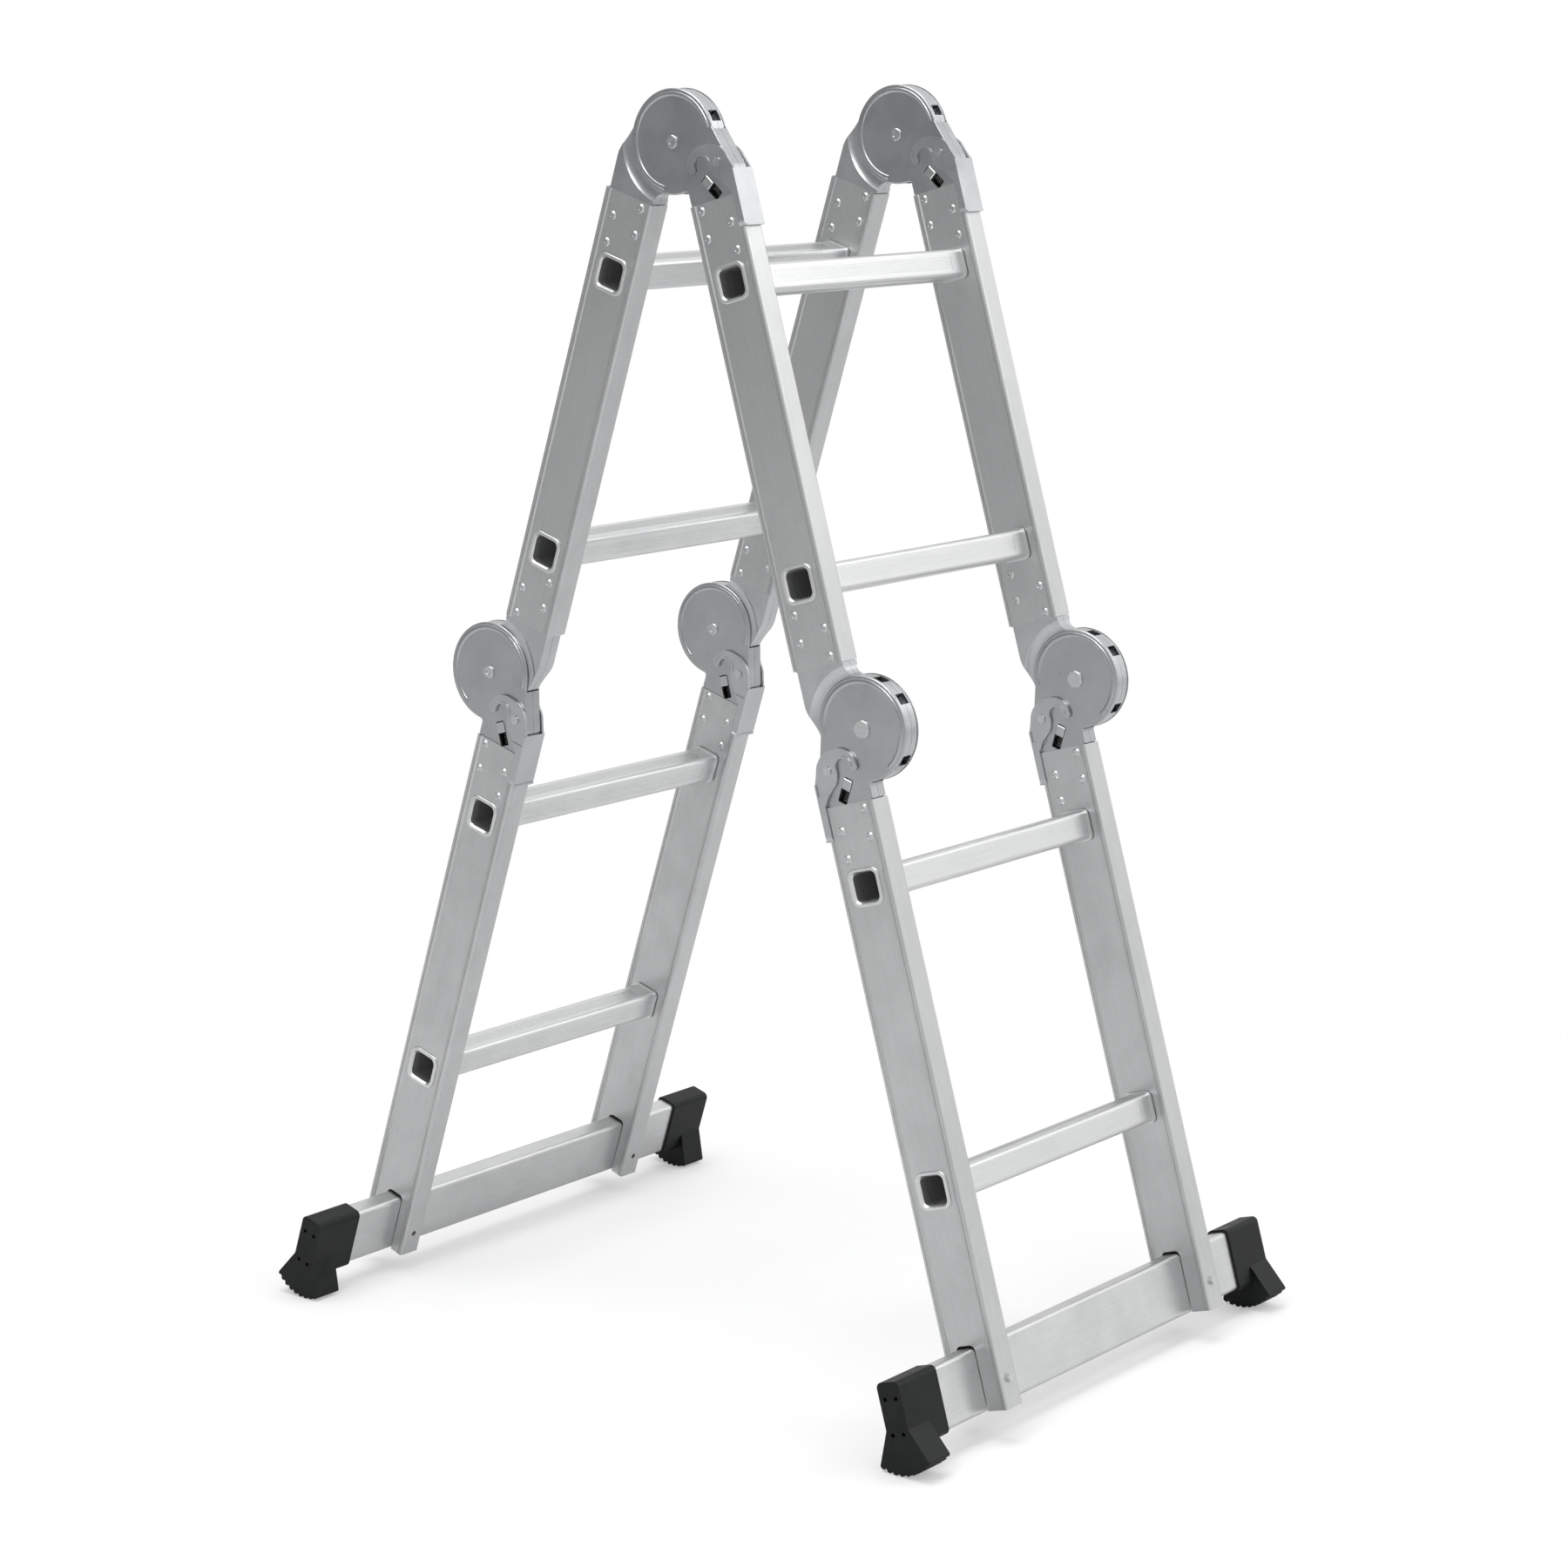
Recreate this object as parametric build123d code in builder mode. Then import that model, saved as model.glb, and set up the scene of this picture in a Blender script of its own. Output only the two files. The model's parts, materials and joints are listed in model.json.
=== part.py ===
from build123d import *
import os
from math import asin, cos, degrees, radians, sin

# Folding multi-position ladder, standing open as an A-frame.
# +Z is up, X runs along the rungs, the front half leans towards -Y.
# Each half is an upper and a lower section. Three pairs of locking hinges join the sections:
# one pair at the apex and one pair halfway down each half.
# Positions on a half are given as u, the distance down the leg from the apex pivot,
# and v, the distance outwards from the pivot line. All sizes are millimetres and degrees.

# ---- driving dimensions: the whole ladder
rung_pitch = 280.0
ladder_width = 370.0
stand_angle = 33.5
section_length = 2 * rung_pitch
fold_gap = 8.8

# ---- stiles
stile_depth = 58.0
stile_thickness = 25.0
stile_wall = 1.8
stile_corner = 2.5
stile_bottom = 1183.0
panel_width = 46.0
panel_recess = 0.8
panel_slope = 1.4
bead_width = 1.0
bead_groove_width = 1.3
bead_groove_depth = 0.8

# ---- rungs
rung_size = 28.0
rung_wall = 1.3
rung_corner = 4.5
rung_serration_count = 7
rung_serration_pitch = 1.8
rung_serration_width = 0.9
rung_serration_depth = 0.45
rung_smooth_end = 20.0
rung_hole_play = 0.2
collar_size = 35.6
collar_corner = 8.6
collar_height = 1.7
collar_rounding = 1.1
mouth_size = 29.4
mouth_corner = 6.6
mouth_depth = 2.2
end_bore_size = 26.6
end_bore_corner = 5.6
end_bore_depth = 14.0
inner_collar_size = 31.5
inner_collar_corner = 6.0
inner_collar_height = 2.0
inner_collar_overlap = 0.1

# ---- hinges, seen from the side: w runs across the stile from the pivot, p runs along it
hinge_reach = 63.4
drum_radius = 48.0
drum_face = 8.0
drum_wall = 2.0
drum_seam = 0.15
step_start_radius = 50.5
step_end_radius = 59.5
cover_radius = 48.5
cover_inner = 8.3
cover_outer = 10.5
cover_edge_rounding = 1.5
flange_thickness = 2.0
flange_inner_radius = 49.2
neck_pivot_side = 5.0
neck_end = 62.6
tab_pivot_side = 6.8
tab_lever_side = 59.8
tab_end = 118.5
cover_shoulder = ((62.0, 38.0), (54.5, 17.0))
cover_shoulder_rounding = 12.0
cover_waist = (48.2, -2.0)
cover_neck_rounding = 3.0
drum_shoulder = ((58.4, 28.0),)
drum_shoulder_rounding = 25.0
drum_waist = (47.5, -3.0)
drum_neck_rounding = 11.0
bead_radius = 43.4
bead_round = 3.2
bead_sink = 2.3
bead_root = 0.6
bead_start = 92.0
bead_end = 332.0
dot_radius = 0.9
dot_height = 0.3
dot_pitch = 4.2
dot_centre = (13.5, 53.5)
fold_stops = (0.0, 75.0, 180.0 - stand_angle, 180.0)

# ---- lock: a tongue that slides along a line through the pivot
lock_angle = 33.0
lock_width = 9.4
lock_tip = 48.6
lock_shoulder = 50.0
lock_back = 60.5
lock_travel = 6.9
notch_width = 11.0
notch_floor = 38.0
lock_plate_radius = 45.7
lock_plate_half = 3.0
lock_play = 0.4
tongue_ear_half = 12.0
tongue_ear_chamfer = 0.8
window_start = 49.0
window_end = 73.5
window_width = 10.2
window_corner = 1.5
seat_thickness = 3.0
seat_width = 15.0
seat_gap = 0.2
seat_side_gap = 0.05
spring_radius = 6.5
spring_wire = 0.8
spring_turns = 5

# ---- release lever
lever_pin_w = 47.0
lever_pin_p = 30.8
lever_ear_radius = 13.5
ear_inner = 10.9
ear_outer = 13.1
ear_end = 62.5
tail_start = 52.0
cheek_inner = 12.8
cheek_outer = 14.4
web_inner = 63.0
web_outer = 64.6
web_start = 41.0
web_end = 97.0
web_corner = 8.0
lip_height = 1.5
lip_thickness = 2.0
lip_rise = 2.5
rib_width = 2.2
rib_height = 0.7
lever_pin_radius = 3.0
lever_pin_head_radius = 4.2
lever_pin_head_height = 1.0

# Outline of the lever's hook, as arcs (start, middle, end) in w and p, from its tail round to its ear.
hook_arcs = (
    ((57.4, 62.0), (50.0, 52.0), (41.5, 45.0)),
    ((41.5, 45.0), (37.6, 37.5), (37.0, 29.0)),
    ((37.0, 29.0), (28.5, 21.8), (20.5, 30.5)),
    ((20.5, 30.5), (16.0, 35.0), (13.0, 30.0)),
    ((13.0, 30.0), (21.0, 15.5), (36.0, 12.5)),
    ((36.0, 12.5), (54.6, 19.6), (60.5, 30.8)),
)

# ---- fasteners
rivet_places = ((16.5, 70.0), (47.0, 87.0), (16.5, 96.0), (47.0, 113.0))
rivet_radius = 2.5
rivet_head_radius = 4.3
rivet_head_height = 1.5
rivet_head_taper = 38.0
axle_radius = 5.0
axle_head_radius = 6.2
axle_flat_head_radius = 8.5
axle_head_height = 1.8
axle_reach = 100.0
head_chamfer = 0.6
dimple_depth = 1.0
axle_dimple_radius = 3.2
rivet_dimple_radius = 1.7
rivet_hole_radius = 2.55
pin_end_play = 0.2
seat_contact = 0.02
running_clearance = 0.06

# ---- stabiliser bars and boots
bar_length = 600.0
bar_height = 58.0
bar_thickness = 20.0
bar_wall = 1.6
bar_corner = 4.0
bar_centre_v = 30.0
slot_width = 21.0
slot_top = 1122.5
screw_u = 1156.0
tool_hole_u = 1160.0
screw_radius = 2.4
screw_hole_radius = 2.5
screw_tip_depth = 5.0
tool_hole_radius = 2.8
screw_head_radius = 4.6
screw_head_height = 3.0
boot_wall = 2.3
boot_clearance = 0.1
boot_sleeve_length = 56.0
boot_sleeve_corner = 5.5
boot_end_wall = 2.8
foot_length = 31.0
foot_half_width = 28.0
foot_radius = 45.0
foot_centre_u = 1162.0
foot_shoulder_u = 1166.0
foot_tip_radius = 2.5
tread_pitch = 9.0
tread_radius = 1.9
tread_steps = range(-6, 3)
boot_hole_radius = 2.0
boot_hole_offset_u = 16.0
boot_hole_offset_v = 6.0

# ---- derived sizes
tilt = radians(stand_angle / 2)
pivot_offset = stile_depth / 2 + fold_gap / 2
stile_x = ladder_width / 2 - stile_thickness / 2
stile_half = stile_thickness / 2
panel_face = stile_half - panel_recess
bar_centre_u = stile_bottom - bar_height / 2
apex_height = foot_centre_u * cos(tilt) - bar_centre_v * sin(tilt) + foot_radius
apex = Vector(0, 0, apex_height)
across_x = Vector(1, 0, 0)
rung_distances = [rung_pitch * (number + 0.5) for number in range(4)]
side_signs = {"left": -1, "right": 1}

os.makedirs("parts", exist_ok=True)


def save(piece, name):
    """Label a finished piece and write it as its own STEP file."""
    piece.part.label = name
    export_step(piece.part, f"parts/{name}.step")


class Leg:
    """One half of the ladder, with its direction down the leg and its direction outwards."""

    def __init__(self, facing):
        self.down = Vector(0, facing * sin(tilt), -cos(tilt))
        self.out = Vector(0, facing * cos(tilt), sin(tilt))

    def point(self, u, v, x=0.0):
        return apex + self.down * u + self.out * v + across_x * x

    def side(self, x=0.0):
        """Plane seen from the side: local x is v and local y is u."""
        return Plane(origin=self.point(0, 0, x), x_dir=self.out, z_dir=self.out.cross(self.down))

    def across(self, u, x):
        """Plane square to the stile at distance u, centred on the stile."""
        return Plane(origin=self.point(u, pivot_offset, x), x_dir=across_x, z_dir=self.down)

    def facing_out(self, u, v, x):
        """Plane parallel to the narrow face of a stile, looking outwards."""
        return Plane(origin=self.point(u, v, x), x_dir=across_x, z_dir=self.out)


class HingeHalf:
    """Half of a hinge: w runs across its stile from the pivot and p runs along the stile."""

    def __init__(self, pivot, w_direction, p_direction):
        self.pivot = pivot
        self.w_direction = w_direction
        self.p_direction = p_direction

    def middle(self, x):
        """Plane through the middle of the hinge: local x is w and local y is p."""
        normal = self.w_direction.cross(self.p_direction)
        return Plane(origin=self.pivot + across_x * x, x_dir=self.w_direction, z_dir=normal)


legs = {"front": Leg(-1), "back": Leg(1)}
apex_halves = {name: HingeHalf(apex, leg.out, leg.down) for name, leg in legs.items()}
upper_halves = {}
lower_halves = {}
for name, leg in legs.items():
    middle_pivot = leg.point(section_length, 2 * pivot_offset)
    upper_halves[name] = HingeHalf(middle_pivot, leg.out * -1, leg.down * -1)
    lower_halves[name] = HingeHalf(middle_pivot, leg.out * -1, leg.down)

# Each hinge has a cover half, which carries the lever and the lock, and a drum half.
hinges = {
    "apex": (apex_halves["front"], apex_halves["back"]),
    "front_middle": (lower_halves["front"], upper_halves["front"]),
    "back_middle": (lower_halves["back"], upper_halves["back"]),
}


def polar(radius, angle):
    """Point at a radius, with the angle counted from the p direction towards the w direction."""
    return (radius * sin(radians(angle)), radius * cos(radians(angle)))


# ------------------------------------------------------------------------------------ stiles
def face_groove(side, centre, width, depth, slope):
    """Corners of a groove with sloping sides in one wide face of a stile, seen end on."""
    surface = side * stile_half
    floor = side * (stile_half - depth)
    return (
        (surface, centre - width / 2),
        (floor, centre - width / 2 + slope),
        (floor, centre + width / 2 - slope),
        (surface, centre + width / 2),
    )


def make_stile(name, leg, x, start, end, halves, rungs, has_slot):
    """Rectangular tube with a recessed panel and a fine bead along each wide face."""
    with BuildPart() as stile:
        with BuildSketch(leg.across(start, x)):
            RectangleRounded(stile_thickness, stile_depth, stile_corner)
            RectangleRounded(
                stile_thickness - 2 * stile_wall,
                stile_depth - 2 * stile_wall,
                stile_corner - stile_wall,
                mode=Mode.SUBTRACT,
            )
            groove_centre = panel_width / 2 + bead_width + bead_groove_width / 2
            for side in (-1, 1):
                panel = face_groove(side, 0, panel_width, panel_recess, panel_slope)
                Polygon(*panel, align=None, mode=Mode.SUBTRACT)
                for centre in (-groove_centre, groove_centre):
                    groove = face_groove(side, centre, bead_groove_width, bead_groove_depth, bead_groove_width / 3)
                    Polygon(*groove, align=None, mode=Mode.SUBTRACT)
        extrude(amount=end - start)
        with BuildSketch(leg.side(x)):
            with Locations(*[(pivot_offset, u) for u in rungs]):
                hole_size = rung_size + rung_hole_play
                RectangleRounded(hole_size, hole_size, rung_corner + rung_hole_play / 2)
            if has_slot:
                with Locations((bar_centre_v, end)):
                    RectangleRounded(slot_width, 2 * (end - slot_top), stile_corner * 2)
        extrude(amount=stile_thickness, both=True, mode=Mode.SUBTRACT)
        for half in halves:
            with BuildSketch(half.middle(x)):
                with Locations(*rivet_places):
                    Circle(rivet_hole_radius)
            extrude(amount=stile_thickness, both=True, mode=Mode.SUBTRACT)
        if has_slot:
            with BuildSketch(leg.facing_out(screw_u, bar_centre_v, x)):
                Circle(screw_hole_radius)
            extrude(amount=stile_depth, mode=Mode.SUBTRACT)
            with BuildSketch(leg.facing_out(tool_hole_u, bar_centre_v, x)):
                Circle(tool_hole_radius)
            extrude(amount=-stile_depth, mode=Mode.SUBTRACT)
    save(stile, name)


for leg_name, leg in legs.items():
    for side_name, sign in side_signs.items():
        make_stile(
            f"{leg_name}_upper_{side_name}_stile",
            leg,
            sign * stile_x,
            hinge_reach,
            section_length - hinge_reach,
            (apex_halves[leg_name], upper_halves[leg_name]),
            rung_distances[:2],
            has_slot=False,
        )
        make_stile(
            f"{leg_name}_lower_{side_name}_stile",
            leg,
            sign * stile_x,
            section_length + hinge_reach,
            stile_bottom,
            (lower_halves[leg_name],),
            rung_distances[2:],
            has_slot=True,
        )


# ------------------------------------------------------------------------------------- rungs
def make_rung(name, leg, u):
    """Square tube with serrated treads, passed through both stiles and flared outside them."""
    middle = leg.side()
    collar_x = stile_x + panel_face + seat_contact
    inner_x = stile_x - stile_half
    bore = rung_size - 2 * rung_wall
    bore_corner = rung_corner - rung_wall
    centre = (pivot_offset, u)
    with BuildPart() as rung:
        with BuildSketch(middle):
            with Locations(centre):
                RectangleRounded(rung_size, rung_size, rung_corner)
        extrude(amount=collar_x, both=True)
        with BuildSketch(middle):
            with Locations(centre):
                with PolarLocations(rung_size / 2, 4):
                    with GridLocations(1, rung_serration_pitch, 1, rung_serration_count):
                        Rectangle(2 * rung_serration_depth, rung_serration_width)
        extrude(amount=inner_x - rung_smooth_end, both=True, mode=Mode.SUBTRACT)
        for sign in (-1, 1):
            with BuildSketch(middle.offset(sign * collar_x)):
                with Locations(centre):
                    RectangleRounded(collar_size, collar_size, collar_corner)
            extrude(amount=sign * collar_height)
            lip = rung.faces().sort_by(Axis.X)[0 if sign * middle.z_dir.X < 0 else -1]
            fillet(lip.edges(), radius=collar_rounding)
            with BuildSketch(middle.offset(sign * (inner_x - inner_collar_overlap))):
                with Locations(centre):
                    RectangleRounded(inner_collar_size, inner_collar_size, inner_collar_corner)
            extrude(amount=-sign * inner_collar_height)
        with BuildSketch(middle):
            with Locations(centre):
                RectangleRounded(bore, bore, bore_corner)
        extrude(amount=ladder_width, both=True, mode=Mode.SUBTRACT)
        for sign in (-1, 1):
            outer_x = collar_x + collar_height
            with BuildSketch(middle.offset(sign * outer_x)):
                with Locations(centre):
                    RectangleRounded(mouth_size, mouth_size, mouth_corner)
            with BuildSketch(middle.offset(sign * (outer_x - mouth_depth))):
                with Locations(centre):
                    RectangleRounded(end_bore_size, end_bore_size, end_bore_corner)
            loft(mode=Mode.SUBTRACT)
            with BuildSketch(middle.offset(sign * (outer_x - mouth_depth))):
                with Locations(centre):
                    RectangleRounded(end_bore_size, end_bore_size, end_bore_corner)
            extrude(amount=-sign * end_bore_depth, mode=Mode.SUBTRACT)
    save(rung, name)


for leg_name, leg in legs.items():
    for number, distance in enumerate(rung_distances, start=1):
        make_rung(f"{leg_name}_rung_{number}", leg, distance)


# ------------------------------------------------------------------------------- hinge covers
def neck_corners(shoulder, waist):
    """Corners of the neck and tab of a hinge plate, from inside its disc to its end in the stile."""
    return (
        (neck_pivot_side, drum_radius / 2),
        (neck_pivot_side, neck_end),
        (tab_pivot_side, neck_end),
        (tab_pivot_side, tab_end),
        (tab_lever_side, tab_end),
        (tab_lever_side, neck_end),
        (shoulder[0][0], neck_end),
        *shoulder,
        waist,
        (drum_radius / 2, 0),
    )


# Stamped cover: a disc that runs into the neck which enters the stile.
with BuildSketch() as cover_shape:
    Circle(cover_radius)
    Polygon(*neck_corners(cover_shoulder, cover_waist), align=None)
    fillet(cover_shape.vertices().sort_by_distance(cover_shoulder[0])[0], radius=cover_shoulder_rounding)
    neck_corner = (neck_pivot_side, cover_radius)
    fillet(cover_shape.vertices().sort_by_distance(neck_corner)[0], radius=cover_neck_rounding)


def make_covers(name, half, x):
    """Two mirrored cover plates with rim bead, lock window and closing flanges, and a spring seat."""
    middle = half.middle(x)
    window_centre = (window_start + window_end) / 2
    lock_turn = 90.0 - lock_angle
    with BuildPart() as covers:
        with BuildSketch(middle.offset(cover_inner)):
            add(cover_shape.sketch_local)
        extrude(amount=cover_outer - cover_inner)
        top_face = covers.faces().sort_by_distance(middle.offset(2 * cover_outer).origin)[0]
        fillet(top_face.outer_wire().edges(), radius=cover_edge_rounding)
        with BuildSketch(middle.offset(drum_seam)):
            add(cover_shape.sketch_local)
            offset(amount=-flange_thickness, mode=Mode.SUBTRACT)
            Circle(flange_inner_radius, mode=Mode.SUBTRACT)
            with Locations((0, neck_end)):
                Rectangle(4 * cover_radius, 4 * cover_radius, align=(Align.CENTER, Align.MIN), mode=Mode.SUBTRACT)
        extrude(amount=cover_inner - drum_seam)
        outward = middle.from_local_coords(polar(1, bead_start)) - middle.origin
        cross_section = Plane(origin=middle.origin, x_dir=outward, z_dir=outward.cross(middle.z_dir))
        with BuildSketch(cross_section):
            with Locations((bead_radius, cover_outer - bead_sink)):
                Circle(bead_round)
            with Locations((bead_radius, cover_outer - bead_root)):
                below = 2 * (bead_round + bead_sink)
                Rectangle(below, below, align=(Align.CENTER, Align.MAX), mode=Mode.SUBTRACT)
        revolve(axis=Axis(middle.origin, middle.z_dir * -1), revolution_arc=bead_end - bead_start)
        with BuildSketch(middle.offset(cover_outer - bead_root)):
            with Locations(dot_centre):
                with GridLocations(dot_pitch, dot_pitch, 2, 3):
                    Circle(dot_radius)
        extrude(amount=bead_root + dot_height)
        with BuildSketch(middle):
            with Locations(Location((*polar(window_centre, lock_angle), 0), (0, 0, lock_turn))):
                RectangleRounded(window_end - window_start, window_width, window_corner)
            Circle(axle_radius + seat_contact)
            with Locations((lever_pin_w, lever_pin_p)):
                Circle(lever_pin_radius + seat_contact)
            with Locations(*rivet_places):
                Circle(rivet_hole_radius)
        extrude(amount=2 * cover_outer, mode=Mode.SUBTRACT)
        mirror(about=middle)
        with BuildSketch(middle):
            seat_radius = window_end + seat_gap
            with Locations(Location((*polar(seat_radius, lock_angle), 0), (0, 0, lock_turn))):
                Rectangle(seat_thickness, seat_width, align=(Align.MIN, Align.CENTER))
        extrude(amount=cover_inner - seat_side_gap, both=True)
    save(covers, name)


# ------------------------------------------------------------------------------- hinge drums
# Drum half: a disc that runs into its neck with a wide fillet on the pivot side.
with BuildSketch() as drum_shape:
    Circle(drum_radius)
    Polygon(*neck_corners(drum_shoulder, drum_waist), align=None)
    fillet(drum_shape.vertices().sort_by_distance(drum_shoulder[0])[0], radius=drum_shoulder_rounding)
    neck_corner = (neck_pivot_side, drum_radius)
    fillet(drum_shape.vertices().sort_by_distance(neck_corner)[0], radius=drum_neck_rounding)


def notch_locations():
    """Places of the lock notches around the drum, one for each locked fold angle."""
    for stop in fold_stops:
        angle = 180.0 - lock_angle + stop
        yield Location((*polar(drum_radius, angle), 0), (0, 0, 90.0 - angle))


def make_drum(name, half, x):
    """Two mirrored dished shells with a stepped face, and the notched lock plate between them."""
    middle = half.middle(x)
    pocket_depth = drum_face - drum_wall
    with BuildPart() as drum:
        with BuildSketch(middle.offset(drum_seam)):
            add(drum_shape.sketch_local)
        extrude(amount=cover_outer - drum_seam)
        step_plane = Plane(origin=middle.origin, x_dir=middle.x_dir, z_dir=middle.y_dir * -1)
        with BuildSketch(step_plane):
            with BuildLine():
                TangentArc((step_start_radius, drum_face), (step_end_radius, cover_outer), tangent=(1, 0))
                Polyline(
                    (step_end_radius, cover_outer),
                    (step_end_radius, 2 * cover_outer),
                    (0, 2 * cover_outer),
                    (0, drum_face),
                    (step_start_radius, drum_face),
                )
            make_face()
        revolve(axis=Axis(middle.origin, middle.z_dir), mode=Mode.SUBTRACT)
        with BuildSketch(middle):
            add(drum_shape.sketch_local)
            offset(amount=-drum_wall, mode=Mode.REPLACE)
        extrude(amount=pocket_depth, mode=Mode.SUBTRACT)
        with BuildSketch(middle):
            add(drum_shape.sketch_local)
            offset(amount=-drum_wall, mode=Mode.REPLACE)
            Circle(step_end_radius + drum_wall, mode=Mode.SUBTRACT)
        extrude(amount=cover_outer - drum_wall, mode=Mode.SUBTRACT)
        with BuildSketch(middle):
            with Locations(*notch_locations()):
                Rectangle(4 * drum_wall, notch_width)
        extrude(amount=pocket_depth, mode=Mode.SUBTRACT)
        with BuildSketch(middle):
            Circle(axle_radius + running_clearance)
            with Locations(*rivet_places):
                Circle(rivet_hole_radius)
        extrude(amount=2 * cover_outer, mode=Mode.SUBTRACT)
        mirror(about=middle)
        with BuildSketch(middle):
            Circle(lock_plate_radius)
            Circle(axle_radius + running_clearance, mode=Mode.SUBTRACT)
            with Locations(*notch_locations()):
                Rectangle(2 * (drum_radius - notch_floor), notch_width, mode=Mode.SUBTRACT)
        extrude(amount=lock_plate_half, both=True)
    save(drum, name)


# ------------------------------------------------------------- lock tongues, springs and levers
def make_tongue(name, half, x):
    """Lock tongue: a nose towards the drum, ears in the cover windows and a shoulder for the spring."""
    middle = half.middle(x)
    lock_turn = 90.0 - lock_angle
    with BuildPart() as tongue:
        with BuildSketch(middle):
            with Locations(Location((*polar(lock_tip, lock_angle), 0), (0, 0, lock_turn))):
                Rectangle(lock_shoulder - lock_tip + 1, lock_width, align=(Align.MIN, Align.CENTER))
        extrude(amount=lock_plate_half - lock_play, both=True)
        with BuildSketch(middle):
            with Locations(Location((*polar(lock_shoulder, lock_angle), 0), (0, 0, lock_turn))):
                Rectangle(lock_back - lock_shoulder, lock_width, align=(Align.MIN, Align.CENTER))
        extrude(amount=tongue_ear_half, both=True)
        with BuildSketch(middle):
            with Locations(Location((*polar(lock_back, lock_angle), 0), (0, 0, lock_turn))):
                Rectangle(seat_thickness, seat_width, align=(Align.MAX, Align.CENTER))
        extrude(amount=cover_inner - lock_play, both=True)
        ear_ends = tongue.faces().filter_by(Axis.X).sort_by(Axis.X)
        chamfer(ear_ends[0].edges() + ear_ends[-1].edges(), length=tongue_ear_chamfer)
    save(tongue, name)


def make_springs(name, half):
    """Pair of coil springs that press the left and right tongues towards their drums."""
    gap = window_end - lock_back
    spring_length = gap - 2 * spring_wire - 2 * seat_gap
    with BuildPart() as springs:
        for sign in side_signs.values():
            middle = half.middle(sign * stile_x)
            foot = middle.from_local_coords(polar(lock_back + spring_wire + seat_gap, lock_angle))
            away = (foot - middle.origin).normalized()
            pitch = spring_length / spring_turns
            with BuildLine():
                coil = Helix(pitch, spring_length, spring_radius, center=foot, direction=away)
            with BuildSketch(Plane(origin=coil @ 0, z_dir=coil % 0)):
                Circle(spring_wire)
            sweep(path=coil, is_frenet=True)
    save(springs, name)


# Side of the lever: an ear round the pin, a hook over the lock and a tail along the stile.
with BuildSketch() as cheek_shape:
    with BuildLine():
        Polyline(
            hook_arcs[-1][-1],
            (web_outer, web_start),
            (web_outer, web_end),
            (hook_arcs[0][0][0], web_end),
            hook_arcs[0][0],
        )
        for arc in hook_arcs:
            ThreePointArc(*arc)
    make_face()


def make_lever(name, half, x):
    """Release lever: two cheeks with hooks, joined by a web that lies over the stile's narrow face."""
    middle = half.middle(x)
    beyond = 2 * web_end
    upwards = (Align.CENTER, Align.MIN)
    downwards = (Align.CENTER, Align.MAX)
    with BuildPart() as lever:
        # The ears lie close to the covers and the tails step outwards to pass over the stile.
        with BuildSketch(middle.offset(ear_inner)):
            add(cheek_shape.sketch_local)
            with Locations((0, ear_end)):
                Rectangle(beyond, beyond, align=upwards, mode=Mode.SUBTRACT)
        extrude(amount=ear_outer - ear_inner)
        with BuildSketch(middle.offset(cheek_inner)):
            add(cheek_shape.sketch_local)
            with Locations((0, tail_start)):
                Rectangle(beyond, beyond, align=downwards, mode=Mode.SUBTRACT)
        extrude(amount=cheek_outer - cheek_inner)
        with BuildSketch(middle.offset(ear_outer)):
            add(cheek_shape.sketch_local)
            offset(amount=-rib_width, mode=Mode.SUBTRACT)
            with Locations((0, lever_pin_p)):
                Rectangle(beyond, beyond, align=upwards, mode=Mode.SUBTRACT)
            with Locations((lever_pin_w, 0)):
                Rectangle(beyond, beyond, align=(Align.MIN, Align.CENTER), mode=Mode.SUBTRACT)
        extrude(amount=rib_height)
        mirror(about=middle)
        with BuildSketch(middle):
            with Locations((web_inner, web_start)):
                Rectangle(web_outer - web_inner, web_end - lip_rise - web_start, align=(Align.MIN, Align.MIN))
            with Locations((web_inner, web_end - lip_rise)):
                Rectangle(web_outer + lip_height - web_inner, lip_thickness, align=(Align.MIN, Align.MAX))
        extrude(amount=cheek_outer, both=True)
        with BuildSketch(middle):
            with Locations((lever_pin_w, lever_pin_p)):
                Circle(lever_pin_radius + running_clearance)
        extrude(amount=2 * cheek_outer, both=True, mode=Mode.SUBTRACT)
        # The far end of the web and of both tails is cut to one rounded outline.
        tail_end = middle.from_local_coords((hook_arcs[0][0][0], web_end))
        trimmed = Plane(origin=tail_end, x_dir=across_x, z_dir=half.w_direction)
        inward = -1 if trimmed.y_dir.dot(half.p_direction) > 0 else 1
        with BuildSketch(trimmed):
            Rectangle(beyond, 2 * web_corner)
            with Locations((0, inward * 2 * web_corner)):
                RectangleRounded(2 * cheek_outer, 4 * web_corner, web_corner, mode=Mode.SUBTRACT)
        extrude(amount=web_outer, mode=Mode.SUBTRACT)
    save(lever, name)


for hinge_name, (cover_half, drum_half) in hinges.items():
    for side_name, sign in side_signs.items():
        x = sign * stile_x
        make_covers(f"{hinge_name}_{side_name}_hinge_covers", cover_half, x)
        make_drum(f"{hinge_name}_{side_name}_hinge_drum", drum_half, x)
        make_tongue(f"{hinge_name}_{side_name}_lock_tongue", cover_half, x)
        make_lever(f"{hinge_name}_{side_name}_release_lever", cover_half, x)
    make_springs(f"{hinge_name}_lock_springs", cover_half)


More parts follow.
